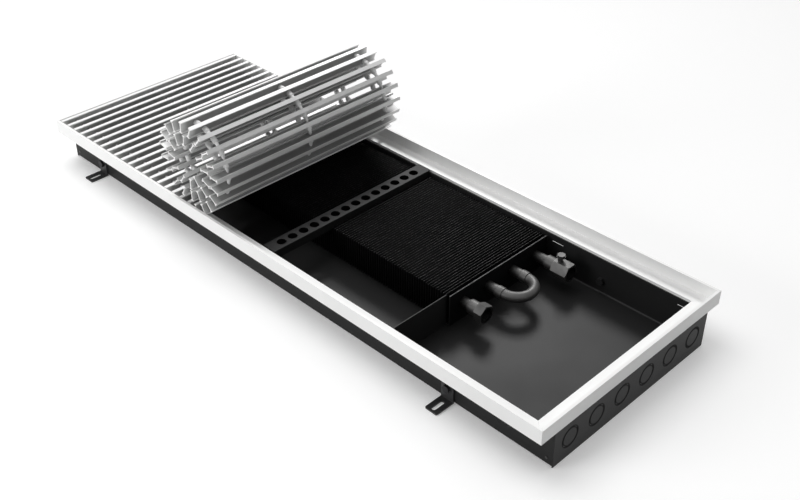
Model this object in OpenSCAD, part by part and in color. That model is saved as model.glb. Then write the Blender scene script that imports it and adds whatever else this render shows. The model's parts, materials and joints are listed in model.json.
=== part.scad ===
// Trench convector heater with a roll-up grille, part of it rolled back.
// Origin: middle of the trough's underside. +X runs along the trough to the connection end,
// +Y to the window side, where the heat exchanger lies, and +Z up.

/* [Trough] */
// Length of the trough and of its frame
trough_l = 1000; // [950:10:1100]
// Outer width of the trough
trough_w = 308; // [300:2:320]
// Height of the trough, floor to the frame's underside
trough_h = 54; // [53:1:70]
// Thickness of the trough's sheet
sheet_t = 1.2; // [1:0.1:1.5]
// Inner radius of the sheet's bends
bend_r = 2.4; // [1:0.2:4]
// Width of the flange that turns out under the frame
flange_w = 14; // [8:1:18]

/* [Frame] */
// Width of the wall of the frame outside the trough, trough to frame edge
frame_over = 26; // [24:1:30]
// Thickness of the frame's upright
upright_t = 4; // [3:0.5:6]
// Width of the frame's ledge, with the upright
ledge_w = 25; // [20:1:25]
// Thickness of the ledge
ledge_t = 4; // [3:0.5:5]
// Depth from the frame's top to the ledge, which the slats fill
slat_seat = 17; // [15:0.5:20]

/* [Grille] */
// Distance from slat to slat
slat_pitch = 18.88; // [18.5:0.02:19]
// Least distance from the frame's end to the middle of the first slat
slat_end = 9; // [7:0.5:12]
// Slats that are rolled up
roll_count = 34; // [28:1:34]
// Width of a slat's flanges
slat_w = 6; // [5:0.5:9]
// Thickness of a slat's flanges
slat_flange = 1.5; // [1:0.1:2]
// Thickness of a slat's web
slat_web = 1.6; // [1.2:0.1:2]
// Radius of the round under the edge of a flange's middle, at the web
slat_root = 0.8; // [0.4:0.1:1.2]
// Distance from the middle cord to the outer ones
cord_row = 150; // [120:5:155]
// Diameter of a cord
cord_d = 3; // [2:0.1:3.4]
// Diameter of a spacer sleeve
sleeve_d = 8; // [6.5:0.5:8.5]
// Slats that lead gently up into the roll
lead_count = 3; // [2:1:3]
// Angle from slat to slat in the lead, in degrees
lead_turn = 12.6; // [12:0.1:13]
// Radius that the roll would have if it began on the ledge
roll_r = 67.5; // [67:0.1:75]
// Distance from turn to turn in the roll
roll_layer = 19.5; // [19.3:0.1:19.8]

/* [Heat exchanger] */
// Free space between the fin pack and the trough's connection end
space_l = 256.5; // [250:0.5:300]
// Free space between the fin pack and the trough's other end
rest_l = 103.5; // [98:0.5:150]
// Width of a fin
fin_w = 200; // [195:1:205]
// Height of a fin
fin_h = 47; // [42:1:47]
// Thickness of a fin
fin_t = 0.4; // [0.3:0.1:0.6]
// Distance from fin to fin
fin_pitch = 4.5; // [4:0.25:8]
// Outer diameter of a tube
tube_d = 15; // [12:0.5:16]
// Wall of a tube
tube_wall = 1; // [0.8:0.1:1.5]
// Distance from tube to tube
tube_pitch = 50; // [46:1:52]
// Height of the tubes above the trough's underside
tube_z = 30; // [28:1:32]

/* [Connections] */
// Width across the flats of a connector
hex_af = 24; // [23:0.5:26]
// Radius of a connector's threaded bore
thread_r = 9.3; // [8:0.1:9.6]
// Depth of a connector's threaded bore
thread_l = 13; // [10:1:13]
// Diameter of a knockout
knockout_d = 28; // [20:1:30]
// Distance from knockout to knockout
knockout_pitch = 50; // [45:1:52]

/* [Feet] */
// Width of a foot bracket
foot_w = 20; // [16:1:24]
// Reach of a foot bracket from the trough's wall
foot_reach = 31; // [28:1:40]
// Thickness of a foot bracket
foot_t = 2; // [1.5:0.5:3]
// Travel of a foot bracket down its bolt
foot_travel = 12; // [8:1:14]
// Diameter of a foot bracket's bolt
bolt_d = 6; // [5:0.5:6]

/* [Hidden] */
$fn = 48;
eps = 0.5; // overrun of a cut
seat_gap = 0.2; // clearance under and between seated pieces
fit_gap = 0.25; // clearance round a piece in its hole

frame_w = trough_w + 2 * frame_over;
frame_top = trough_h + ledge_t + slat_seat;
ledge_z = trough_h + ledge_t;
opening_w = frame_w - 2 * ledge_w;
opening_l = trough_l - 2 * ledge_w;

slat_h = slat_seat - seat_gap;
slat_end_gap = 1;
slat_l = frame_w - 2 * upright_t - 2 * slat_end_gap;
flat_count = floor((trough_l - 2 * slat_end) / slat_pitch) + 1 - roll_count;
slat_count = flat_count + roll_count;
slat_x0 = -(slat_count - 1) * slat_pitch / 2;
slat_z = frame_top - slat_h / 2;
cord_r = cord_d / 2;
sleeve_bore_r = cord_r + fit_gap;
cord_gap = 0.55; // clearance round a cord in a web, which lets the roll turn
cord_hole_r = cord_r + cord_gap;
sleeve_gap = 2.2; // bare cord beside a sleeve, which lets the roll turn
sleeve_neck_l = 5.1;
sleeve_nose_t = 0.5; // wall at the rim of the neck, which swings past the web
sleeve_neck_t = 1.1; // wall at the foot of the neck, which swings past the flange
sleeve_nose_r = sleeve_bore_r + sleeve_nose_t;
sleeve_neck_r = sleeve_bore_r + sleeve_neck_t;
sleeve_taper_l = 1.3;
cord_start = 0.4; // where a rolled slat's length of cord starts past its hinge
cord_stop = 1; // how far it ends inside its own web
ferrule_l = 3; // crimped end of a cord at the first and the last slat
ferrule_rim = 1; // how far a ferrule reaches past its cord

// The roll: past the lead, each hinge turns by the pitch over a radius that shrinks by one layer a turn
function roll_turn(i, heading) = i <= lead_count ? lead_turn :
    slat_pitch / (roll_r - roll_layer / (2 * PI) * heading) * 180 / PI;
function roll_heading(i) = i == 0 ? 0 :
    let (h = roll_heading(i - 1)) h + roll_turn(i, h * PI / 180);
// Hinge of slat i: the middle of the cord at the face of the web before it
function roll_hinge(i) = i == 1
    ? [slat_x0 + (flat_count - 1) * slat_pitch + slat_web / 2, slat_z]
    : let (p = roll_hinge(i - 1), h = roll_heading(i - 1)) p + slat_pitch * [cos(h), sin(h)];

strut_w = 24;
strut_h = 13;
strut_t = 1.5;
strut_hole_d = 14;
strut_hole_pitch = 20;
strut_holes = 14;

wall_slot_l = 19;
wall_slot_h = 1.5;
wall_slot_z = 43;
wall_slot_past_pack = 17; // fin pack to the middle of the first slot
wall_slot_inset = 33.5; // trough's end to the middle of the second slot
wall_knockout_inset = 75;
knockouts = 6; // in each end plate
knockout_cut = 0.9;
knockout_tab_share = 0.22;

plate_tab = 12; // folded edge of an end plate
rivet_r = 1;
rivet_head_r = 1.8;
rivet_head_h = 0.6;
rivet_z = 10.5;
rivet_inset = 9.5;

pack_x0 = rest_l - trough_l / 2;
pack_x1 = trough_l / 2 - space_l;
pack_l = pack_x1 - pack_x0;
wall_slot_x = [pack_x1 + wall_slot_past_pack, trough_l / 2 - wall_slot_inset];
wall_knockout_x = trough_l / 2 - wall_knockout_inset;
pack_wall_gap = 2.8; // fins to the inside of the trough's back wall
pack_y1 = trough_w / 2 - sheet_t - pack_wall_gap;
pack_y0 = pack_y1 - fin_w;
fin_z0 = 3.2;
header_t = 1.5;
header_foot = 14;
header_over = 0.5; // edge of a header past the fins
fin_count = floor((pack_l - 2 * header_t - fin_pitch) / fin_pitch);
tube_r = tube_d / 2;
tube_y = [for (k = [0 : 3]) pack_y0 + fin_w / 2 + (k - 1.5) * tube_pitch];
bend_centre_r = tube_pitch / 2;
bend_out = 28.5; // header to the middle of a return bend
bend_socket_l = 10;
bend_socket_t = 1.1;
bend_socket_r = tube_r + bend_socket_t;
bend_stop_l = 1; // ring in a bend's socket that the tube stops at
tube_stop = 2; // end of a tube to the middle of its return bend
baffle_inset = 7;
baffle_x = pack_x1 - baffle_inset;

supply_reach = [14.5, 28.5, 42.5]; // fin pack to the supply connector's collar, hexagon and front
return_reach = [22.5, 36.5, 63.5]; // the same of the return connector
supply_x = [for (d = supply_reach) pack_x1 + d];
return_x = [for (d = return_reach) pack_x1 + d];
supply_turn = 8; // how far each hexagon is screwed round from an edge on top
return_turn = 30;
collar_r = 10;
socket_l = 11;
hex_chamfer = 1.1;

vent_inset = 8; // start of the return connector's hexagon to the vent
vent_x = return_x[1] + vent_inset;
vent_z = tube_z + hex_af / 2 + seat_gap / 2;
vent_body_r = 2.6;
vent_body_h = 5.8;
vent_foot_r = 4;
vent_foot_h = 1.2;
vent_spout_r = 1.2;
vent_spout_l = 6.2;
vent_spout_z = 4.2;
vent_pin_r = 1.6;
knob_r = 5.6;
knob_rim_r = 6.2;
knob_rim_h = 1.3;
knob_h = 4.3;
knob_top = 1;
knob_clear = 0.08;
knob_gap = 0.3;
knob_grooves = 14;
knob_groove_r = 0.5;

foot_inset_right = 162;
foot_inset_left = 82;
foot_x = [trough_l / 2 - foot_inset_right, foot_inset_left - trough_l / 2];
foot_leg_h = 41;
foot_slot_w = 6;
foot_slot_l = 20;
foot_slot_inset = 18; // middle of the slot from the trough's wall
foot_corner = 2;
bolt_z = 20;
bolt_head_af = 10;
bolt_head_h = 4;
bolt_clear = 0.4;
nut_h = 5;

white = [0.93, 0.93, 0.92];
dark = [0.2, 0.2, 0.21];
silver = [0.72, 0.72, 0.73];
black = [0.06, 0.06, 0.065];
brass = [0.55, 0.54, 0.52];

// A block between two corners
module block(a, b) {
    translate(a) cube(b - a);
}

// A tube along X from x0 to x1
module pipe_x(x0, x1, r, bore = 0) {
    translate([x0, 0, 0]) rotate([0, 90, 0]) difference() {
        cylinder(h = x1 - x0, r = r);
        if (bore > 0) translate([0, 0, -eps]) cylinder(h = x1 - x0 + 2 * eps, r = bore);
    }
}

// The two cut arcs of a knockout, through a wall of the given thickness from z = 0
module knockout_cut(t) {
    r = knockout_d / 2;
    tab = knockout_d * knockout_tab_share;
    translate([0, 0, -eps]) difference() {
        cylinder(h = t + 2 * eps, r = r);
        translate([0, 0, -eps]) cylinder(h = t + 4 * eps, r = r - knockout_cut);
        translate([-tab / 2, -knockout_d, -eps]) cube([tab, 2 * knockout_d, t + 4 * eps]);
    }
}

module trough_wall_cuts() {
    translate([wall_knockout_x, sheet_t - trough_w / 2, tube_z]) rotate([90, 0, 0]) knockout_cut(sheet_t);
    for (side = [-1, 1]) {
        for (x = wall_slot_x, end = [-1, 1])
            translate([end * x - wall_slot_l / 2, side * trough_w / 2 - sheet_t - eps, wall_slot_z])
                cube([wall_slot_l, 2 * (sheet_t + eps), wall_slot_h]);
        for (x = foot_x)
            translate([x, side * trough_w / 2 + sheet_t + eps, bolt_z])
                rotate([90, 0, 0]) cylinder(h = 2 * (sheet_t + eps), r = bolt_d / 2 + fit_gap);
        for (end = [-1, 1])
            translate([end * (trough_l / 2 - rivet_inset), side * trough_w / 2 + sheet_t + eps, rivet_z])
                rotate([90, 0, 0]) cylinder(h = 2 * (sheet_t + eps), r = rivet_r + fit_gap);
    }
}

// One bend of the trough's sheet: a quarter of a tube along X
module sheet_bend(l) {
    r = bend_r + sheet_t;
    intersection() {
        translate([-l / 2, 0, 0]) pipe_x(0, l, r, bend_r);
        block([-l / 2 - eps, -r - eps, -r - eps], [l / 2 + eps, 0, 0]);
    }
}

module trough_tray() {
    r = bend_r + sheet_t;
    half = trough_w / 2;
    l = trough_l - 2 * sheet_t - 2 * seat_gap;
    color(dark) difference() {
        union() {
            block([-l / 2, r - half, 0], [l / 2, half - r, sheet_t]);
            for (side = [-1, 1]) scale([1, side, 1]) {
                block([-l / 2, -half, r], [l / 2, sheet_t - half, trough_h]);
                block([-l / 2, -half - flange_w, trough_h - sheet_t], [l / 2, sheet_t - half, trough_h]);
            }
            translate([0, r - half, r]) sheet_bend(l);
            translate([0, half - r, r]) mirror([0, 1, 0]) sheet_bend(l);
        }
        trough_wall_cuts();
    }
}

// End plate at +X; its folded edges lie inside the trough's walls
module end_plate(end) {
    half = trough_w / 2 - sheet_t - seat_gap;
    x1 = trough_l / 2;
    x0 = x1 - sheet_t;
    color(dark) scale([end, 1, 1]) difference() {
        union() {
            block([x0, -trough_w / 2, 0], [x1, trough_w / 2, trough_h]);
            for (side = [-1, 1]) scale([1, side, 1])
                block([x0 - plate_tab, half - sheet_t, bend_r + 2 * sheet_t],
                    [x0 + eps, half, trough_h - seat_gap]);
        }
        for (k = [0 : knockouts - 1])
            translate([x0, (k - (knockouts - 1) / 2) * knockout_pitch, tube_z])
                rotate([90, 0, 90]) knockout_cut(sheet_t);
        for (side = [-1, 1])
            translate([x1 - rivet_inset, side * half + sheet_t + eps, rivet_z])
                rotate([90, 0, 0]) cylinder(h = 2 * (sheet_t + eps), r = rivet_r + fit_gap);
    }
}

module end_plate_left() {
    end_plate(-1);
}

module end_plate_right() {
    end_plate(1);
}

module end_plate_rivets() {
    half = trough_w / 2;
    grip = 2 * sheet_t + seat_gap;
    color(dark) for (end = [-1, 1], side = [-1, 1])
        translate([end * (trough_l / 2 - rivet_inset), side * half, rivet_z]) rotate([side * 90, 0, 0]) {
            translate([0, 0, -rivet_head_h]) cylinder(h = rivet_head_h, r = rivet_head_r);
            cylinder(h = grip + rivet_head_h, r = rivet_r);
            translate([0, 0, grip]) cylinder(h = rivet_head_h, r = rivet_head_r);
        }
}

// L-shaped rail along X, seen from the front, mitred at both ends
module frame_rail(l, w) {
    half = l / 2;
    out = w / 2;
    color(white) intersection() {
        union() {
            block([-half, -out, trough_h], [half, upright_t - out, frame_top]);
            block([-half, -out, trough_h], [half, ledge_w - out, ledge_z]);
        }
        translate([0, 0, trough_h - eps]) linear_extrude(frame_top - trough_h + 2 * eps)
            polygon([[-half, -out], [half, -out], [half - ledge_w - eps, ledge_w + eps - out],
                [ledge_w + eps - half, ledge_w + eps - out]]);
    }
}

module frame_rail_front() {
    frame_rail(trough_l, frame_w);
}

module frame_rail_back() {
    rotate([0, 0, 180]) frame_rail(trough_l, frame_w);
}

module frame_rail_right() {
    rotate([0, 0, 90]) frame_rail(frame_w, trough_l);
}

module frame_rail_left() {
    rotate([0, 0, -90]) frame_rail(frame_w, trough_l);
}

module cross_strut() {
    reach = trough_w / 2 - sheet_t - seat_gap;
    color(dark) difference() {
        union() {
            block([-strut_w / 2, -reach, ledge_z - strut_t], [strut_w / 2, reach, ledge_z]);
            for (side = [-1, 1]) {
                scale([side, 1, 1])
                    block([strut_w / 2 - strut_t, -reach, ledge_z - strut_h], [strut_w / 2, reach, ledge_z]);
                scale([1, side, 1])
                    block([-strut_w / 2, reach - strut_t, ledge_z - strut_h], [strut_w / 2, reach, ledge_z]);
            }
        }
        for (k = [0 : strut_holes - 1])
            translate([0, (k - (strut_holes - 1) / 2) * strut_hole_pitch, ledge_z - strut_t - eps])
                cylinder(h = strut_t + 2 * eps, d = strut_hole_d);
    }
}

module exchanger_fins() {
    color(black) for (k = [1 : fin_count])
        translate([pack_x0 + header_t + k * fin_pitch, 0, 0]) difference() {
            block([0, pack_y0, fin_z0], [fin_t, pack_y1, fin_z0 + fin_h]);
            for (y = tube_y) translate([-eps, y, tube_z]) pipe_x(0, fin_t + 2 * eps, tube_r + fit_gap);
        }
}

module exchanger_end_plates() {
    y0 = pack_y0 - header_over;
    y1 = pack_y1 + header_over;
    color(black) for (x = [pack_x0, pack_x1 - header_t]) difference() {
        union() {
            block([x, y0, sheet_t], [x + header_t, y1, fin_z0 + fin_h + header_over]);
            translate([x == pack_x0 ? 0 : header_t - header_foot, 0, 0])
                block([x, y0, sheet_t], [x + header_foot, y1, sheet_t + header_t]);
        }
        for (y = tube_y) translate([x - eps, y, tube_z]) pipe_x(0, header_t + 2 * eps, tube_r + fit_gap);
    }
}

module exchanger_tubes() {
    left = pack_x0 - bend_out + tube_stop;
    right = pack_x1 + bend_out - tube_stop;
    ends = [supply_x[0] + socket_l, right, right, return_x[0] + socket_l];
    color(silver) for (k = [0 : 3])
        translate([0, tube_y[k], tube_z]) pipe_x(left, ends[k], tube_r, tube_r - tube_wall);
}

// A return bend with its two sockets, opening to -X
module return_bend() {
    rotate([0, 0, -90]) rotate_extrude(angle = 180) translate([bend_centre_r, 0])
        difference() {
            circle(r = tube_r);
            circle(r = tube_r - tube_wall);
        }
    for (side = [-1, 1]) translate([0, side * bend_centre_r, 0]) {
        pipe_x(-bend_socket_l, 0, bend_socket_r, tube_r + seat_gap / 2);
        pipe_x(-bend_stop_l, 0, bend_socket_r, tube_r - tube_wall);
    }
}

module return_bends() {
    color(silver) {
        translate([pack_x1 + bend_out, (tube_y[1] + tube_y[2]) / 2, tube_z]) return_bend();
        for (k = [0, 2])
            translate([pack_x0 - bend_out, (tube_y[k] + tube_y[k + 1]) / 2, tube_z])
                rotate([0, 0, 180]) return_bend();
    }
}

// Connector: a round collar over the tube and a hexagon with a threaded bore, turned on its axis
module connector(xs, turn) {
    l = xs[2] - xs[1];
    corner_r = hex_af / sqrt(3);
    round_r = corner_r + seat_gap;
    difference() {
        union() {
            pipe_x(xs[0], xs[1], collar_r);
            intersection() {
                translate([xs[1], 0, 0]) rotate([turn, 0, 0]) rotate([0, 90, 0])
                    cylinder(h = l, r = corner_r, $fn = 6);
                translate([xs[1], 0, 0]) rotate([0, 90, 0]) union() {
                    cylinder(h = hex_chamfer, r1 = hex_af / 2, r2 = round_r);
                    translate([0, 0, hex_chamfer]) cylinder(h = l - 2 * hex_chamfer, r = round_r);
                    translate([0, 0, l - hex_chamfer])
                        cylinder(h = hex_chamfer, r1 = round_r, r2 = hex_af / 2);
                }
            }
        }
        pipe_x(xs[0] - eps, xs[0] + socket_l + seat_gap, tube_r + seat_gap / 2);
        pipe_x(xs[0], xs[2], tube_r - 2 * tube_wall);
        pipe_x(xs[2] - thread_l, xs[2] + eps, thread_r);
    }
}

module supply_connector() {
    color(brass) translate([0, tube_y[0], tube_z]) connector(supply_x, supply_turn);
}

module return_connector() {
    color(brass) translate([0, tube_y[3], tube_z]) connector(return_x, return_turn);
}

module vent_body() {
    color(silver) translate([vent_x, tube_y[3], vent_z]) {
        cylinder(h = vent_body_h, r = vent_body_r);
        cylinder(h = vent_foot_h, r = vent_foot_r);
        cylinder(h = vent_body_h + knob_h - knob_top, r = vent_pin_r);
        translate([0, 0, vent_spout_z]) rotate([90, 0, 0]) cylinder(h = vent_spout_l, r = vent_spout_r);
    }
}

module vent_knob() {
    z0 = vent_z + vent_body_h + knob_gap;
    color(silver) translate([vent_x, tube_y[3], z0]) difference() {
        union() {
            cylinder(h = knob_rim_h, r = knob_rim_r);
            cylinder(h = knob_h, r = knob_r);
        }
        translate([0, 0, -eps]) cylinder(h = knob_h - knob_top + eps, r = vent_pin_r + knob_clear);
        for (k = [0 : knob_grooves - 1])
            rotate([0, 0, k * 360 / knob_grooves]) translate([knob_r, 0, knob_rim_h + seat_gap])
                cylinder(h = knob_h, r = knob_groove_r, $fn = 16);
    }
}

module air_baffle() {
    half = trough_w / 2 - sheet_t - seat_gap;
    y1 = pack_y0 - header_over - seat_gap;
    z0 = sheet_t + seat_gap / 2;
    color(dark) difference() {
        union() {
            block([baffle_x, -half, z0], [baffle_x + sheet_t, y1, fin_z0 + fin_h + header_over]);
            block([baffle_x - plate_tab, bend_r + sheet_t - half, z0], [baffle_x + eps, y1, z0 + sheet_t]);
        }
        block([baffle_x - plate_tab - eps, -half - eps, z0 - eps],
            [baffle_x + 2 * sheet_t, bend_r - half, z0 + bend_r]);
    }
}

// Foot bracket at the front wall, its bolt's axis at x = 0
module foot() {
    y = -trough_w / 2 - seat_gap / 2;
    slot_y = -trough_w / 2 - foot_slot_inset;
    color(dark) difference() {
        union() {
            block([-foot_w / 2, y - foot_t, 0], [foot_w / 2, y, foot_leg_h]);
            block([-foot_w / 2, -trough_w / 2 - foot_reach, 0], [foot_w / 2, y, foot_t]);
        }
        for (x = [-1, 1]) translate([x * foot_w / 2, -trough_w / 2 - foot_reach, -eps])
            rotate([0, 0, 45]) cube([foot_corner, foot_corner, 2 * (foot_t + eps)], center = true);
        translate([0, 0, -eps]) {
            for (s = [-1, 1])
                translate([0, slot_y + s * (foot_slot_l - foot_slot_w) / 2, 0])
                    cylinder(h = foot_t + 2 * eps, d = foot_slot_w);
            block([-foot_slot_w / 2, slot_y - (foot_slot_l - foot_slot_w) / 2, 0],
                [foot_slot_w / 2, slot_y + (foot_slot_l - foot_slot_w) / 2, foot_t + 2 * eps]);
        }
        translate([0, y + eps, bolt_z]) rotate([90, 0, 0]) {
            cylinder(h = foot_t + 2 * eps, r = bolt_d / 2 + bolt_clear);
            translate([0, foot_travel, 0]) cylinder(h = foot_t + 2 * eps, r = bolt_d / 2 + bolt_clear);
            translate([-bolt_d / 2 - bolt_clear, 0, 0])
                cube([bolt_d + 2 * bolt_clear, foot_travel, foot_t + 2 * eps]);
        }
    }
}

module foot_front_right() {
    translate([foot_x[0], 0, 0]) foot();
}

module foot_front_left() {
    translate([foot_x[1], 0, 0]) foot();
}

module foot_back_right() {
    translate([foot_x[0], 0, 0]) rotate([0, 0, 180]) foot();
}

module foot_back_left() {
    translate([foot_x[1], 0, 0]) rotate([0, 0, 180]) foot();
}

module foot_bolts() {
    head_y = trough_w / 2 + seat_gap / 2 + foot_t + seat_gap / 2;
    end_y = trough_w / 2 - sheet_t - nut_h;
    corner_r = bolt_head_af / sqrt(3);
    color(black) for (x = foot_x, side = [0, 180])
        translate([x, 0, 0]) rotate([0, 0, side]) translate([0, 0, bolt_z]) rotate([90, 0, 0]) {
            translate([0, 0, head_y]) cylinder(h = bolt_head_h, r = corner_r, $fn = 6);
            translate([0, 0, end_y]) cylinder(h = head_y - end_y + eps, r = bolt_d / 2);
            translate([0, 0, end_y]) cylinder(h = nut_h - seat_gap / 2, r = corner_r, $fn = 6);
        }
}

// Section of a slat, its web's right face on the axis and its middle at y = 0
module slat_section() {
    w = slat_w / 2;
    h = slat_h / 2;
    t = slat_web / 2;
    f = h - slat_flange;
    translate([-t, 0]) polygon([[-w, -h], [w, -h], [w, -f], [t + slat_root, -f], [t, slat_root - f],
        [t, f - slat_root], [t + slat_root, f], [w, f], [w, h], [-w, h], [-w, f], [-t - slat_root, f],
        [-t, f - slat_root], [-t, slat_root - f], [-t - slat_root, -f], [-w, -f]]);
}

module slat_bar() {
    difference() {
        rotate([90, 0, 0]) translate([0, 0, -slat_l / 2]) linear_extrude(slat_l) slat_section();
        for (k = [-1 : 1])
            translate([0, k * cord_row, 0]) pipe_x(-slat_web - eps, eps, cord_hole_r);
    }
}

// The three sleeves between a slat and the one before it
module slat_sleeves() {
    x1 = -slat_web - seat_gap / 2;
    x0 = sleeve_gap - slat_pitch;
    for (k = [-1 : 1]) translate([0, k * cord_row, 0]) difference() {
        union() {
            translate([x0, 0, 0]) rotate([0, 90, 0])
                cylinder(h = sleeve_neck_l, r1 = sleeve_nose_r, r2 = sleeve_neck_r);
            translate([x0 + sleeve_neck_l, 0, 0]) rotate([0, 90, 0])
                cylinder(h = sleeve_taper_l, r1 = sleeve_neck_r, r2 = sleeve_d / 2);
            pipe_x(x0 + sleeve_neck_l + sleeve_taper_l, x1, sleeve_d / 2);
        }
        pipe_x(x0 - eps, x1 + eps, sleeve_bore_r);
    }
}

module flat_slats() {
    color(white) for (k = [0 : flat_count - 1])
        translate([slat_x0 + k * slat_pitch + slat_web / 2, 0, slat_z]) slat_bar();
}

module flat_sleeves() {
    color(silver) for (k = [1 : flat_count - 1])
        translate([slat_x0 + k * slat_pitch + slat_web / 2, 0, slat_z]) slat_sleeves();
}

module flat_cords() {
    x0 = slat_x0 - slat_web / 2;
    x1 = slat_x0 + (flat_count - 1) * slat_pitch + slat_web / 2 - cord_stop;
    color(silver) translate([0, 0, slat_z]) for (k = [-1 : 1]) translate([0, k * cord_row, 0]) {
        pipe_x(x0 - ferrule_l + ferrule_rim, x1, cord_r);
        pipe_x(x0 - ferrule_l, x0 - seat_gap / 2, 2 * cord_r);
    }
}

// Slat i of the roll, in its place: bar, sleeves and its length of cord
module roll_slat(i) {
    p = roll_hinge(i);
    last = i == roll_count;
    color(white) translate([p[0], 0, p[1]]) rotate([0, -roll_heading(i), 0]) translate([slat_pitch, 0, 0]) {
        slat_bar();
        slat_sleeves();
        for (k = [-1 : 1]) translate([0, k * cord_row, 0]) {
            pipe_x(cord_start - slat_pitch, last ? ferrule_l : -cord_stop, cord_r);
            if (last) pipe_x(seat_gap / 2, ferrule_l, 2 * cord_r);
        }
    }
}

trough_tray();
end_plate_left();
end_plate_right();
end_plate_rivets();
frame_rail_front();
frame_rail_back();
frame_rail_left();
frame_rail_right();
cross_strut();
exchanger_fins();
exchanger_end_plates();
exchanger_tubes();
return_bends();
supply_connector();
return_connector();
vent_body();
vent_knob();
air_baffle();
foot_front_right();
foot_front_left();
foot_back_right();
foot_back_left();
foot_bolts();
flat_slats();
flat_sleeves();
flat_cords();
for (i = [1 : roll_count]) {
    roll_slat(i);
}
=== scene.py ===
# %% [markdown]
# # A trench convector heater, dressed for a photograph
# The heater's sheet metal, tubes and slats come from the CAD model with every hole and bend in them. What
# is left for Blender is light, finish and small pieces: the pipe threads and the beads of solder. Each
# step below says what the real thing is, how it could be made here, and why it is made this way.

# %% The frame from CAD
import json
import math
import bmesh
import bpy
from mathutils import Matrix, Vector


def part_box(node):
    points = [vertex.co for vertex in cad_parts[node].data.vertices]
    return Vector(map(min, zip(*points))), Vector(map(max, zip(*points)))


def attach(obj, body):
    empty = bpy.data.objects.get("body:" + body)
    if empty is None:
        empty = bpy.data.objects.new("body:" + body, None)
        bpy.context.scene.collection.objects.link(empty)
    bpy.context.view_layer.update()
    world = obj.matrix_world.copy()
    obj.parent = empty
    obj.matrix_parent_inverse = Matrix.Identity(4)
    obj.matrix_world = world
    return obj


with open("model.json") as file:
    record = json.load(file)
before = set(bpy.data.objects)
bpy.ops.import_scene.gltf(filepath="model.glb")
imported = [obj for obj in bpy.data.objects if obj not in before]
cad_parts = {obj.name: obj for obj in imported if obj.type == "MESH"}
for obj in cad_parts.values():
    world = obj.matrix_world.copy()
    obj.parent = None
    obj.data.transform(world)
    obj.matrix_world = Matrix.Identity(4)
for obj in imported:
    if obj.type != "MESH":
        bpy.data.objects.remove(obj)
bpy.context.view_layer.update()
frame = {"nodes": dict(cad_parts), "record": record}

# %% [markdown]
# ## Camera
# The picture was taken from above the connection end, looking along the trough at 45 degrees and down at
# 35. The frame's outer corners and the rows of fins and slats gave the camera's place. It could be aimed
# with a Track To constraint, but a plain rotation keeps the view the same in every version of the scene.
# The Standard view keeps the whites of the frame and the ground as they are lit.

# %% Camera
def make_camera():
    data = bpy.data.cameras.new("photo_camera")
    data.sensor_fit = "HORIZONTAL"
    data.sensor_width = 36.0
    data.lens = 50.16
    data.clip_start = 0.02
    data.clip_end = 60.0
    camera = bpy.data.objects.new("photo_camera", data)
    camera.location = (1.0116, -0.9106, 0.9312)
    camera.rotation_euler = (math.radians(55), 0, math.radians(45))
    bpy.context.scene.collection.objects.link(camera)
    bpy.context.scene.camera = camera
    return camera


print("lens", round(make_camera().data.lens, 2), "mm")
bpy.context.scene.view_settings.view_transform = "Standard"

# %% [markdown]
# ## Finishes as sums
# A finish is a small graph of nodes. Wiring one by hand takes many lines, so one class wraps a socket and
# lets Python's own signs add the Math nodes: `grain * 0.3 + 0.4` is a graph. `below` and `above` give
# masks of 0 and 1, and `folded` brings a coordinate back to one period of a row, so that one mask serves
# the whole row.

# %% Socket maths
class Value:
    """An output socket that Python's signs can reckon with."""

    def __init__(self, graph, socket):
        self.graph = graph
        self.socket = socket

    def output(self, key):
        """Another output of the same node, by number or by name."""
        return Value(self.graph, self.socket.node.outputs[key])

    def maths(self, operation, *items, clamp=False):
        settings = {"operation": operation, "use_clamp": clamp}
        return self.graph.node("Math", settings, slots=dict(enumerate(items)))

    def __add__(self, other):
        return self.maths("ADD", self, other)

    def __radd__(self, other):
        return self.maths("ADD", other, self)

    def __sub__(self, other):
        return self.maths("SUBTRACT", self, other)

    def __rsub__(self, other):
        return self.maths("SUBTRACT", other, self)

    def __mul__(self, other):
        return self.maths("MULTIPLY", self, other)

    def __rmul__(self, other):
        return self.maths("MULTIPLY", other, self)

    def __truediv__(self, other):
        return self.maths("DIVIDE", self, other)

    def __rtruediv__(self, other):
        return self.maths("DIVIDE", other, self)

    def __abs__(self):
        return self.maths("ABSOLUTE", self)

    def below(self, limit):
        return self.maths("LESS_THAN", self, limit)

    def above(self, limit):
        return self.maths("GREATER_THAN", self, limit)

    def root(self):
        return self.maths("POWER", self, 0.5)

    def folded(self, period):
        return self.maths("WRAP", self, period / 2, -period / 2)

    def clamped(self):
        return self.maths("ADD", self, 0.0, clamp=True)


# %% [markdown]
# ## Graphs and materials
# Every node comes from one method, which sets what the node is before it feeds its inputs. A material
# adds the shader, the Object coordinates and the things that most finishes need: a noise, patches of it,
# a bump and the separate axes. Generated coordinates would stretch with each piece's box. Object
# coordinates are metres on every piece, and they stay on the metal when a slat or a knob moves.

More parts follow.
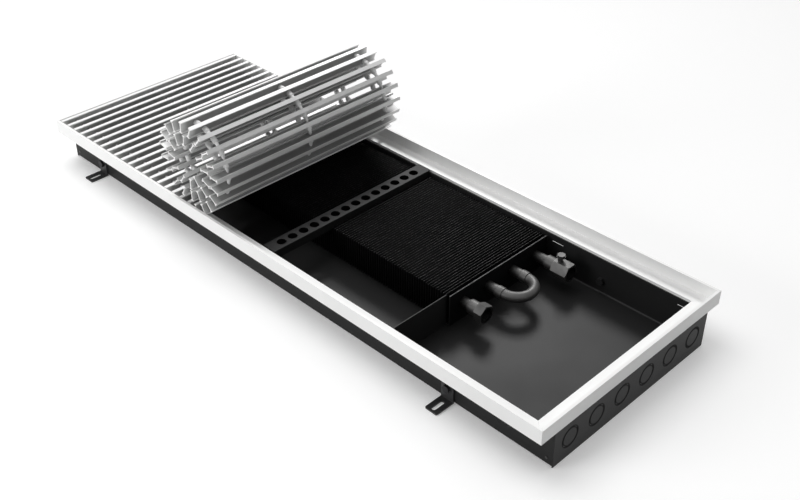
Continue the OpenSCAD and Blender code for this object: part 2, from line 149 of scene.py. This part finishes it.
# %% Graph and finish
class Graph:
    """The nodes of one material, or of the world."""

    def __init__(self, tree):
        self.tree = tree

    def feed(self, slot, item):
        if isinstance(item, Value):
            self.tree.links.new(item.socket, slot)
        elif slot.type == "RGBA":
            slot.default_value = (*item, 1.0)
        else:
            slot.default_value = item

    def node(self, kind, settings=None, stops=(), slots=None, **named):
        """A node with its settings and ramp stops, then its inputs by number or by name."""
        node = self.tree.nodes.new("ShaderNode" + kind)
        for name, setting in (settings or {}).items():
            setattr(node, name, setting)
        for k, (position, shade) in enumerate(stops):
            node.color_ramp.elements[k].position = position
            node.color_ramp.elements[k].color = (shade, shade, shade, 1.0)
        for number, item in (slots or {}).items():
            self.feed(node.inputs[number], item)
        for name, item in named.items():
            self.feed(node.inputs[name.replace("_", " ")], item)
        return Value(self, node.outputs[0])

    def blend(self, amount, first, second):
        """Mixes two colours: a Mix node has them in slots 6 and 7, and the result comes out of 2."""
        return self.node("Mix", {"data_type": "RGBA"}, slots={0: amount, 6: first, 7: second}).output(2)

    def seen(self):
        """1 for what the camera sees, also in a mirror or through glass, and 0 for light on its way."""
        path = self.node("LightPath")
        direct, mirrored = path.output("Is Camera Ray"), path.output("Is Glossy Ray")
        return (direct + mirrored + path.output("Is Transmission Ray")).clamped()


class Finish(Graph):
    """A material with one Principled shader, which reads Object coordinates."""

    def __init__(self, name, **shader):
        self.material = bpy.data.materials.new(name)
        self.material.use_nodes = True
        super().__init__(self.material.node_tree)
        self.shader = self.tree.nodes["Principled BSDF"]
        self.place = self.node("TexCoord").output("Object")
        self.set(**shader)

    def set(self, **shader):
        for name, item in shader.items():
            self.feed(self.shader.inputs[name.replace("_", " ")], item)

    def cover(self, amount, colour):
        """Lays a colour over what feeds Base Color so far."""
        shade = Value(self, self.shader.inputs["Base Color"].links[0].from_socket)
        self.set(Base_Color=self.blend(amount, shade, colour))

    def grain(self, scale, detail, stretch=(1.0, 1.0, 1.0)):
        where = self.node("Mapping", Vector=self.place, Scale=stretch)
        return self.node("TexNoise", Vector=where, Scale=scale, Detail=detail, Roughness=0.5)

    def patches(self, scale, detail, low, high):
        """A noise spread out to 0 below low and 1 above high."""
        return self.node("ValToRGB", Fac=self.grain(scale, detail), stops=[(low, 0.0), (high, 1.0)])

    def bump(self, height, distance):
        self.set(Normal=self.node("Bump", Height=height, Distance=distance, Strength=1.0))

    def axes(self):
        place = self.node("SeparateXYZ", Vector=self.place)
        return [place.output(axis) for axis in "XYZ"]


# %% [markdown]
# ## Powder coat
# Frame and trough are powder coated. Baked powder flows out to a skin with a faint orange peel about a
# millimetre across. A noise of that size drives a shallow bump and a little of the gloss, and a wide soft
# noise shifts the colour by a hair, as handling and dust do. The dark coats mirror less than the shader's
# default.

# %% Powder coat
PEEL_SCALE, FLOW_SCALE, DUST_SCALE = 850.0, 2600.0, 7.0
PEEL_ROUGH, DUST_ROUGH = 0.10, 0.05
FLOW_SHARE, PEEL_HEIGHT = 0.25, 0.00006


def powder_coat(name, colour, dusty, rough, sheen=0.5):
    finish = Finish(name, Specular_IOR_Level=sheen)
    peel = finish.grain(PEEL_SCALE, detail=3.0)
    dust = finish.patches(DUST_SCALE, detail=3.0, low=0.42, high=0.72)
    finish.set(Base_Color=finish.blend(dust, colour, dusty),
               Roughness=rough + peel * PEEL_ROUGH + dust * DUST_ROUGH)
    finish.bump(peel + finish.grain(FLOW_SCALE, detail=1.0) * FLOW_SHARE, PEEL_HEIGHT)
    return finish


trough_paint = powder_coat("trough_grey", colour=(0.0075, 0.0075, 0.0077), dusty=(0.010, 0.010, 0.0102),
                           rough=0.48, sheen=0.22)
strut_paint = powder_coat("strut_grey", colour=(0.006, 0.006, 0.0062), dusty=(0.008, 0.008, 0.0082),
                          rough=0.46, sheen=0.15)
bracket_paint = powder_coat("bracket_black", colour=(0.020, 0.020, 0.021), dusty=(0.030, 0.030, 0.031),
                            rough=0.34)
print("powder coats", *(coat.material.name for coat in (trough_paint, strut_paint, bracket_paint)))

# %% [markdown]
# ## White frame
# The four rails are mitred, and each joint shows as a hairline at 45 degrees. It could be a gap between
# the rails, but they are pressed together, so the line is drawn where x and y stand apart by the mitre's
# distance.

# %% White frame
frame_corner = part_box("frame_rail_back")[1]
MITRE = frame_corner[0] - frame_corner[1]
HAIRLINE = 0.00012


def frame_white():
    finish = powder_coat("frame_white", colour=(0.88, 0.88, 0.875), dusty=(0.85, 0.85, 0.843), rough=0.40)
    x, y, _ = finish.axes()
    finish.cover(abs(abs(x) - abs(y) - MITRE).below(HAIRLINE), (0.45, 0.45, 0.445))
    return finish


frame_paint = frame_white()
print("mitre at |x| - |y| =", round(MITRE, 3))

# %% [markdown]
# ## End plates
# The six knockouts are punched nearly through, on the lines of the tubes. Round each cut a dark ring is
# painted as the shade that falls into the cut line, and the coat is rougher there. The distance from the
# nearest knockout's axis gives the ring, and a fine noise breaks it up.

# %% End plates
def middle_of(node):
    """The middle of a CAD node's box."""
    return [(low + high) / 2 for low, high in zip(*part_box(node))]


SUPPLY_Y, TUBE_Z = middle_of("supply_connector")[1:]
RETURN_Y = middle_of("return_connector")[1]
TUBE_PITCH = (RETURN_Y - SUPPLY_Y) / 3
KNOCKOUT_R, SHADED_RIM = 0.0136, 0.0024
CUT_NOISE_SCALE, LEAST_CUT_SHADE, CUT_SHADE_SPREAD = 420.0, 0.8, 2.4


def from_axes(y, z, pitch):
    """Distance from the nearest line along x at the tubes' height, in a row that holds the supply tube's."""
    across = (y - SUPPLY_Y).folded(pitch)
    up = z - TUBE_Z
    return (across * across + up * up).root()


def punched_grey():
    finish = powder_coat("end_plate_grey", colour=(0.0085, 0.0085, 0.0087), dusty=(0.011, 0.011, 0.0112),
                         rough=0.48, sheen=0.24)
    _, y, z = finish.axes()
    # painted shade: a dark ring along each knockout's cut line
    ring = (1.0 - abs(from_axes(y, z, TUBE_PITCH) - KNOCKOUT_R) / SHADED_RIM).clamped()
    cut_shade = (ring * (finish.grain(CUT_NOISE_SCALE, detail=2.0) * CUT_SHADE_SPREAD + LEAST_CUT_SHADE)).clamped()
    finish.cover(cut_shade, (0.0012, 0.0012, 0.0012))
    finish.set(Roughness=0.50 + cut_shade * 0.45)
    return finish


plate_paint = punched_grey()
print("tubes every", round(TUBE_PITCH, 4), "m at", round(TUBE_Z, 4), "m")

# %% [markdown]
# ## Fins
# The fins are aluminium sheet dipped in black paint. The coat is thin and matt. Along the cut edges a
# painted highlight stands for the light that the edges catch: in dashes of about 2 mm along the top ones, in
# long lines down the front ones, and unevenly along the end plates' top. Height and width find the edges,
# and a noise makes the dashes.

# %% Fins
fins_low, fins_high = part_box("exchanger_fins")
pack_low, pack_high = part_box("exchanger_end_plates")
FRONT_HIGHLIGHT_BAND, TOP_HIGHLIGHT_BAND, PLATE_HIGHLIGHT_BAND, PLATE_T = 0.0003, 0.0002, 0.0003, 0.0020
FRONT_PALE, PLATE_PALE, DASH_LEVEL = 0.6, 0.7, 0.53
DASH_SCALE, DASH_STRETCH = 520.0, (1.0, 0.8, 1.0)
DIP_SCALE, DIP_HEIGHT = 1500.0, 0.00004


def fin_black():
    finish = Finish("fin_black", Specular_IOR_Level=0.10)
    x, y, z = finish.axes()
    dashes = finish.grain(DASH_SCALE, detail=1.0, stretch=DASH_STRETCH)
    top = z.above(fins_high[2] - TOP_HIGHLIGHT_BAND) * dashes.above(DASH_LEVEL)
    front = y.below(fins_low[1] + FRONT_HIGHLIGHT_BAND) * FRONT_PALE
    plate = x.above(pack_high[0] - PLATE_T) * z.above(pack_high[2] - PLATE_HIGHLIGHT_BAND) * dashes * PLATE_PALE
    # painted highlight: lighter dashes on the fins' top edges, lines down their front edges and along the
    # end plates' top
    edge_highlight = (top + front + plate).clamped()
    finish.set(Base_Color=finish.blend(edge_highlight, (0.0020, 0.0020, 0.0022), (0.044, 0.044, 0.045)),
               Roughness=0.52 - edge_highlight * 0.12)
    finish.bump(finish.grain(DIP_SCALE, detail=2.0), DIP_HEIGHT)
    return finish


fin_paint = fin_black()
print("fins from y", round(fins_low[1], 4), "m, up to z", round(fins_high[2], 4), "m")

# %% [markdown]
# ## Metals
# Tubes, rivets, bolts and cords are satin metal, with fine turning marks and a soft, uneven polish. One
# noise gives the marks and drives the bump, and a wider one shifts the colour and the gloss.

# %% Metals
MARK_SCALE, POLISH_SCALE = 900.0, 60.0
MARK_ROUGH, POLISH_ROUGH, MARK_HEIGHT = 0.14, 0.06, 0.00003


def satin_metal(name, colour, shade, rough, scale=MARK_SCALE, metallic=1.0, stretch=(1.0, 1.0, 1.0)):
    finish = Finish(name, Metallic=metallic)
    marks = finish.grain(scale, detail=3.0, stretch=stretch)
    polish = finish.patches(POLISH_SCALE, detail=4.0, low=0.35, high=0.70)
    finish.set(Base_Color=finish.blend(polish, colour, shade),
               Roughness=rough + marks * MARK_ROUGH + polish * POLISH_ROUGH)
    finish.bump(marks, MARK_HEIGHT)
    return finish


solder = satin_metal("soft_solder", (0.16, 0.16, 0.16), (0.11, 0.11, 0.11), rough=0.42, scale=1600.0)
sleeve_metal = satin_metal("sleeve_aluminium", (0.80, 0.80, 0.80), (0.74, 0.74, 0.74), rough=0.34,
                           metallic=0.2)
rivet_metal = satin_metal("rivet_steel", (0.10, 0.10, 0.10), (0.07, 0.07, 0.07), rough=0.42)
bolt_black = satin_metal("bolt_black", (0.05, 0.05, 0.052), (0.035, 0.035, 0.036), rough=0.40)
cord_metal = satin_metal("cord_steel", (0.50, 0.50, 0.50), (0.40, 0.40, 0.40), rough=0.38)
plain_metals = solder, sleeve_metal, rivet_metal, bolt_black, cord_metal
print("plain metals", *(metal.material.name for metal in plain_metals))

# %% [markdown]
# ## Tubes and connectors
# The tubes, bends and connectors are nickel plated. Where they come out of the pack, a painted shade of
# the pack's shadow darkens them and fades out over 20 mm. The connectors' bores, and their cut ends, are
# painted near black as the shade inside them. Both are masks over one plated finish, so the plating is
# the same on every piece.

# %% Tubes and connectors
PACK_MIDDLE, PACK_HALF = (pack_low[0] + pack_high[0]) / 2, (pack_high[0] - pack_low[0]) / 2
PACK_SHADE_L, PACK_SHADE_SCALE, LEAST_PACK_SHADE, PACK_SHADE_SPREAD = 0.020, 180.0, 0.7, 0.5
PAINTED_SHADE_BLACK = (0.004, 0.004, 0.004)
SUPPLY_MOUTH, RETURN_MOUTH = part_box("supply_connector")[1][0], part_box("return_connector")[1][0]
PIPE_BORE_R, BORE_SHADE_MARGIN, CUT_END, CUT_END_SHADE = 0.0093, 0.0004, 0.0002, 0.8
PLATING = 0.9


def paint_pack_shade(finish):
    x, _, _ = finish.axes()
    outward = abs(x - PACK_MIDDLE) - PACK_HALF
    uneven = finish.grain(PACK_SHADE_SCALE, detail=3.0) * PACK_SHADE_SPREAD + LEAST_PACK_SHADE
    # painted shade: darkest at the pack's ends, gone 20 mm out
    pack_shade = (1.0 - outward / PACK_SHADE_L).clamped() * uneven
    finish.cover(pack_shade.clamped(), PAINTED_SHADE_BLACK)


def paint_bore_shade(finish):
    x, y, z = finish.axes()
    # painted shade: the bores and the connectors' cut ends are painted near black and lose their metal
    bore = from_axes(y, z, RETURN_Y - SUPPLY_Y).below(PIPE_BORE_R + BORE_SHADE_MARGIN)
    # x of the supply's mouth on its side of the middle, and of the return's on the other
    mouth = y.below((SUPPLY_Y + RETURN_Y) / 2) * (SUPPLY_MOUTH - RETURN_MOUTH) + RETURN_MOUTH
    bore_shade = (bore + (x - mouth).above(-CUT_END) * CUT_END_SHADE).clamped()
    finish.cover(bore_shade, PAINTED_SHADE_BLACK)
    finish.set(Metallic=PLATING - bore_shade * PLATING, Specular_IOR_Level=0.06)


nickel = satin_metal("satin_nickel", (0.086, 0.085, 0.084), (0.064, 0.0635, 0.063), 0.42, metallic=PLATING)
bored_nickel = satin_metal("bored_nickel", (0.092, 0.091, 0.090), (0.066, 0.0655, 0.065), 0.44)
paint_pack_shade(nickel)
paint_pack_shade(bored_nickel)
paint_bore_shade(bored_nickel)
print("mouths at", round(SUPPLY_MOUTH, 4), "and", round(RETURN_MOUTH, 4), "m")

# %% [markdown]
# ## Slats
# A slat is an I-shaped bar of drawn aluminium, one metal all over. The channels beside its web look far
# darker, since little light gets between the slats, except near the cut ends. Light alone could do that,
# but a soft studio light doesn't reach the same depth, so that shade is painted into the channels as a
# greyer colour, which fades out near the cut ends. The drawing lines run along the slat, and the noise is
# stretched along y. The channels are found by the height from the web's middle: for a slat that has turned
# by a heading, that is the distance square to the heading from its hinge.

# %% One slat's finish
slats_low, slats_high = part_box("flat_slats")
SLAT_PITCH, HINGE_PAST_WEB = 0.01888, 0.0008  # from hinge to hinge, and from a web to the next hinge
FLANGE_T, WEB_BAND, CHANNEL_EDGE = 0.0015, 0.0019, 0.0003
FLANGE_UNDERSIDE = (slats_high[2] - slats_low[2]) / 2 - FLANGE_T
SLAT_CUT, LIT_END = slats_high[1] - 0.0001, 0.012
DRAWN_SCALE, ALONG_SLAT = 1400.0, (1.0, 0.03, 1.0)


def slat_aluminium(name, foot, heading, sleeved):
    """foot is the (x, z) of the hinge, or of any point at the middle of a flat slat's height."""
    finish = satin_metal(name, (0.86, 0.86, 0.855), (0.82, 0.82, 0.815), rough=0.34,
                         scale=DRAWN_SCALE, metallic=0.12, stretch=ALONG_SLAT)
    x, y, z = finish.axes()
    dx, dz = x - foot[0], z - foot[1]
    height = abs(dz * math.cos(heading) - dx * math.sin(heading))
    # painted shade: the channels between the flanges turn grey, except near the cut ends
    channel_shade = ((FLANGE_UNDERSIDE - height) / CHANNEL_EDGE).clamped()
    channel_shade = channel_shade * ((SLAT_CUT - abs(y)) / LIT_END).clamped()
    if sleeved:  # only a band at the web darkens, so the sleeves in the same mesh stay bright
        along = dx * math.cos(heading) + dz * math.sin(heading)
        channel_shade = channel_shade * abs(along - (SLAT_PITCH - HINGE_PAST_WEB)).below(WEB_BAND)
    finish.cover(channel_shade, (0.35, 0.35, 0.35))
    return finish


print("channels reach", round(FLANGE_UNDERSIDE, 4), "m from the middle")

# %% [markdown]
# ## The roll's slats
# In the roll each slat lies at its own angle, so each has its own copy of the finish. The CAD record
# holds every hinge's place. The line from one hinge to the next is the slat's heading, and the last slat
# turns as far as the one before it.

# %% Slat finishes
hinges = [joint["pos_m"] for joint in frame["record"]["behaviour"]["joints"]
          if joint["name"].startswith("roll_hinge_")]
flat_slat = slat_aluminium("slat_aluminium", (0.0, hinges[0][2]), 0.0, sleeved=False)


def headings_of(hinges):
    headings, heading = [], 0.0
    for (x, _, z), (next_x, _, next_z) in zip(hinges, hinges[1:]):
        turn = (math.atan2(next_z - z, next_x - x) - heading) % (2 * math.pi)
        heading += turn
        headings.append(heading)
    return headings + [heading + turn]


headings = headings_of(hinges)
rolled_slats = [slat_aluminium("slat_aluminium_%d" % k, (x, z), heading, sleeved=True)
                for k, ((x, _, z), heading) in enumerate(zip(hinges, headings), 1)]
print("rolled slats", len(rolled_slats), "the last at", round(math.degrees(headings[-1])), "degrees")

# %% [markdown]
# ## Giving each CAD node its finish
# A CAD node keeps its mesh and gets a finish in its material slots. One table says which.

# %% Finishes on the nodes
wears = {
    frame_paint: ["frame_rail_front", "frame_rail_back", "frame_rail_left", "frame_rail_right"],
    trough_paint: ["trough_tray", "air_baffle"],
    plate_paint: ["end_plate_left", "end_plate_right"],
    fin_paint: ["exchanger_fins", "exchanger_end_plates"],
    nickel: ["exchanger_tubes", "return_bends", "vent_body", "vent_knob"],
    bored_nickel: ["supply_connector", "return_connector"],
    bracket_paint: ["foot_front_right", "foot_front_left", "foot_back_right", "foot_back_left"],
    strut_paint: ["cross_strut"],
    rivet_metal: ["end_plate_rivets"],
    bolt_black: ["foot_bolts"],
    sleeve_metal: ["flat_sleeves"],
    cord_metal: ["flat_cords"],
    flat_slat: ["flat_slats"],
}
wears.update({finish: ["roll_slat_%d" % k] for k, finish in enumerate(rolled_slats, 1)})

for finish, nodes in wears.items():
    for node in nodes:
        slots = frame["nodes"][node].data.materials
        slots.clear()
        slots.append(finish.material)
print("dressed", sum(len(nodes) for nodes in wears.values()), "of", len(frame["nodes"]), "nodes")

# %% [markdown]
# ## Pieces from bmesh
# The threads, the solder and the floor are bmesh shapes. Each becomes a mesh object at the origin, as the
# CAD nodes are, with its place in its mesh. A piece of the heater also rides on a body of the CAD model.

# %% Helpers for pieces
def as_object(name, shape, finish):
    mesh = bpy.data.meshes.new(name)
    shape.to_mesh(mesh)
    shape.free()
    mesh.materials.append(finish.material)
    thing = bpy.data.objects.new(name, mesh)
    bpy.context.scene.collection.objects.link(thing)
    return thing


def plated_piece(name, shape, finish):
    piece = as_object(name, shape, finish)
    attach(piece, "heater")
    print(name, len(piece.data.polygons), "faces")


# %% [markdown]
# ## Pipe threads
# Each connector takes a half-inch pipe, so its bore is threaded. A thread is one small tooth swept round
# the axis while it moves along: bmesh's spin does that with a shift along the axis for every step. The
# tooth stands on the bore's wall, so its faces have to look at the axis.

# %% Threads
THREAD_DEPTH, THREAD_PITCH, THREAD_TURNS = 0.0125, 0.0018, 6
TOOTH_H, TOOTH_FOOT = 0.0007, 0.46 * THREAD_PITCH
STEPS_A_TURN = 40


def sweep_thread(mouth, y):
    shape = bmesh.new()
    along, up = Vector((1, 0, 0)), Vector((0, 0, 1))
    start = Vector((mouth - THREAD_DEPTH, y, TUBE_Z))
    wall = start + up * PIPE_BORE_R
    tooth = wall - along * TOOTH_FOOT, wall - up * TOOTH_H, wall + along * TOOTH_FOOT
    verts = [shape.verts.new(point) for point in tooth]
    edges = [shape.edges.new(pair) for pair in zip(verts, verts[1:])]
    bmesh.ops.spin(shape, geom=verts + edges, cent=start, axis=along, angle=2 * math.pi * THREAD_TURNS,
                   dvec=along * (THREAD_PITCH / STEPS_A_TURN), steps=STEPS_A_TURN * THREAD_TURNS,
                   use_duplicate=False)
    bmesh.ops.recalc_face_normals(shape, faces=shape.faces)
    return shape


def look_at_axis(shape, y):
    for face in shape.faces:
        middle = face.calc_center_median()
        if (middle - Vector((middle.x, y, TUBE_Z))).dot(face.normal) > 0:
            face.normal_flip()


for name, mouth, y in (("supply_thread", SUPPLY_MOUTH, SUPPLY_Y), ("return_thread", RETURN_MOUTH, RETURN_Y)):
    thread = sweep_thread(mouth, y)
    look_at_axis(thread, y)
    # the threads lie inside the bores, so they take the bores' painted shade
    plated_piece(name, thread, bored_nickel)

# %% [markdown]
# ## Solder rings
# Tubes, return bends and connectors are joined with solder, which shows as a small hollow bead in the
# corner of each joint. A torus would look too round there. A small profile with a hollow side, turned
# once round the tube's axis by spin, is the real bead's shape. It stands a hair clear of tube and socket,
# so that no two faces lie in one plane.

# %% Solder rings
TUBE_R, CLEAR = 0.00752, 0.0001
HOLLOW_X_SHARE, HOLLOW_R_SHARE = 0.36, 0.34
BEND_MOUTH_R, BEND_BEAD = 0.0085, 0.0012
COLLAR_MOUTH_R, COLLAR_BEAD = 0.0094, 0.0017
RIGHT_MOUTHS_X, LEFT_MOUTHS_X = 0.262, -0.415  # of the bends' sockets, where no node's box ends
RING_STEPS = 36


def solder_ring(shape, mouth, y, way, socket_r, bead):
    """A bead on a tube at the mouth of a socket. The mouth is at x = mouth and faces way, 1 or -1."""
    x = mouth + way * CLEAR
    hollow_r = TUBE_R + (socket_r - TUBE_R) * HOLLOW_R_SHARE
    reach = way * bead
    profile = (0, socket_r), (0, TUBE_R), (reach, TUBE_R), (reach * HOLLOW_X_SHARE, hollow_r)
    verts = [shape.verts.new((x + past, y, TUBE_Z + r)) for past, r in profile]
    edges = [shape.edges.new(pair) for pair in zip(verts, verts[1:] + verts[:1])]
    bmesh.ops.spin(shape, geom=verts + edges, cent=(x, y, TUBE_Z), axis=(1, 0, 0), angle=2 * math.pi,
                   steps=RING_STEPS, use_merge=True, use_duplicate=False)


tube_rows = [SUPPLY_Y + k * TUBE_PITCH for k in range(4)]
beads = bmesh.new()
for y in tube_rows[1:3]:
    solder_ring(beads, RIGHT_MOUTHS_X, y, -1, BEND_MOUTH_R, BEND_BEAD)
for y in tube_rows:
    solder_ring(beads, LEFT_MOUTHS_X, y, 1, BEND_MOUTH_R, BEND_BEAD)
for node, y in (("supply_connector", SUPPLY_Y), ("return_connector", RETURN_Y)):
    solder_ring(beads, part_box(node)[0][0], y, -1, COLLAR_MOUTH_R, COLLAR_BEAD)
bmesh.ops.recalc_face_normals(beads, faces=beads.faces)
plated_piece("solder_rings", beads, solder)

# %% [markdown]
# ## Ground and world
# The picture has a white ground that fades into a white background, with a soft shadow under the trough.
# The ground is pale by its own colour, and adds a little white for the camera and for reflections only,
# so that it reaches white away from the shadow. The world does the same: it gives the scene a weak even
# light, and looks white wherever it is seen.

# %% Ground and world
FLOOR_REACH, FLOOR_DROP = 14.0, 0.0005
FLOOR_GLOW, WORLD_LIGHT = 0.22, 0.18


def make_floor():
    shape = bmesh.new()
    bmesh.ops.create_grid(shape, x_segments=1, y_segments=1, size=FLOOR_REACH)
    bmesh.ops.translate(shape, verts=shape.verts, vec=(0, 0, -FLOOR_DROP))
    finish = Finish("studio_white", Base_Color=(0.86, 0.86, 0.86), Roughness=0.9)
    finish.set(Emission_Color=finish.blend(finish.seen(), (0.0, 0.0, 0.0), (1.0, 1.0, 1.0)),
               Emission_Strength=FLOOR_GLOW)
    floor = as_object("studio_floor", shape, finish)
    return floor


def make_world():
    world = bpy.data.worlds.new("studio")
    bpy.context.scene.world = world
    world.use_nodes = True
    sky = Graph(world.node_tree)
    background = sky.tree.nodes["Background"]
    sky.feed(background.inputs["Color"], (1.0, 1.0, 1.0))
    sky.feed(background.inputs["Strength"], sky.seen() * (1.0 - WORLD_LIGHT) + WORLD_LIGHT)


floor = make_floor()
make_world()
print("ground", [round(side, 1) for side in floor.dimensions[:2]], "m, world light", WORLD_LIGHT)

# %% [markdown]
# ## Lamps
# A lamp behind the heater, past its left end, is the key: it lights the tops and the roll. It leaves the
# ground out, because its shadow would fall forwards in one hard shape. The ground has a light of its own
# instead, a very wide sun, which draws only the soft shadow close to the trough. A large lamp overhead
# fills the insides, and one low in front keeps the front rail bright. Light linking, a collection each
# for the key and the sun, says which of them lights the ground.

# %% Lamps
SUN_WIDTH = math.radians(110)


def new_lamp(name, kind, energy):
    data = bpy.data.lights.new(name, kind)
    data.energy = energy
    lamp = bpy.data.objects.new(name, data)
    bpy.context.scene.collection.objects.link(lamp)
    return lamp


def soft_lamp(name, place, aim, size, watts):
    lamp = new_lamp(name, "AREA", watts)
    lamp.data.shape = "RECTANGLE"
    lamp.data.size, lamp.data.size_y = size
    lamp.location = place
    lamp.rotation_euler = (Vector(place) - Vector(aim)).to_track_quat("Z", "Y").to_euler()
    return lamp


def wide_sun(name, turn, strength):
    lamp = new_lamp(name, "SUN", strength)
    lamp.data.angle = SUN_WIDTH
    lamp.rotation_euler = turn
    return lamp


def link_floor(lamp, state):
    lit = bpy.data.collections.new("floor_of_" + lamp.name)
    lit.objects.link(floor)
    lamp.light_linking.receiver_collection = lit
    lit.collection_objects[0].light_linking.link_state = state


key = soft_lamp("lamp_key", place=(-1.52, 2.02, 2.15), aim=(0, 0, 0), size=(0.8, 0.8), watts=68.0)
link_floor(key, "EXCLUDE")
sun = wide_sun("lamp_floor", turn=(math.radians(-22), math.radians(-18), 0), strength=1.32)
link_floor(sun, "INCLUDE")
soft_lamp("lamp_above", place=(-0.9, -0.3, 2.8), aim=(0, 0, 0), size=(2.0, 2.0), watts=32.0)
soft_lamp("lamp_front", place=(-1.1, -2.6, 0.9), aim=(0, 0, 0.05), size=(1.6, 1.0), watts=37.0)
print("lamps", [lamp.name for lamp in bpy.data.lights])
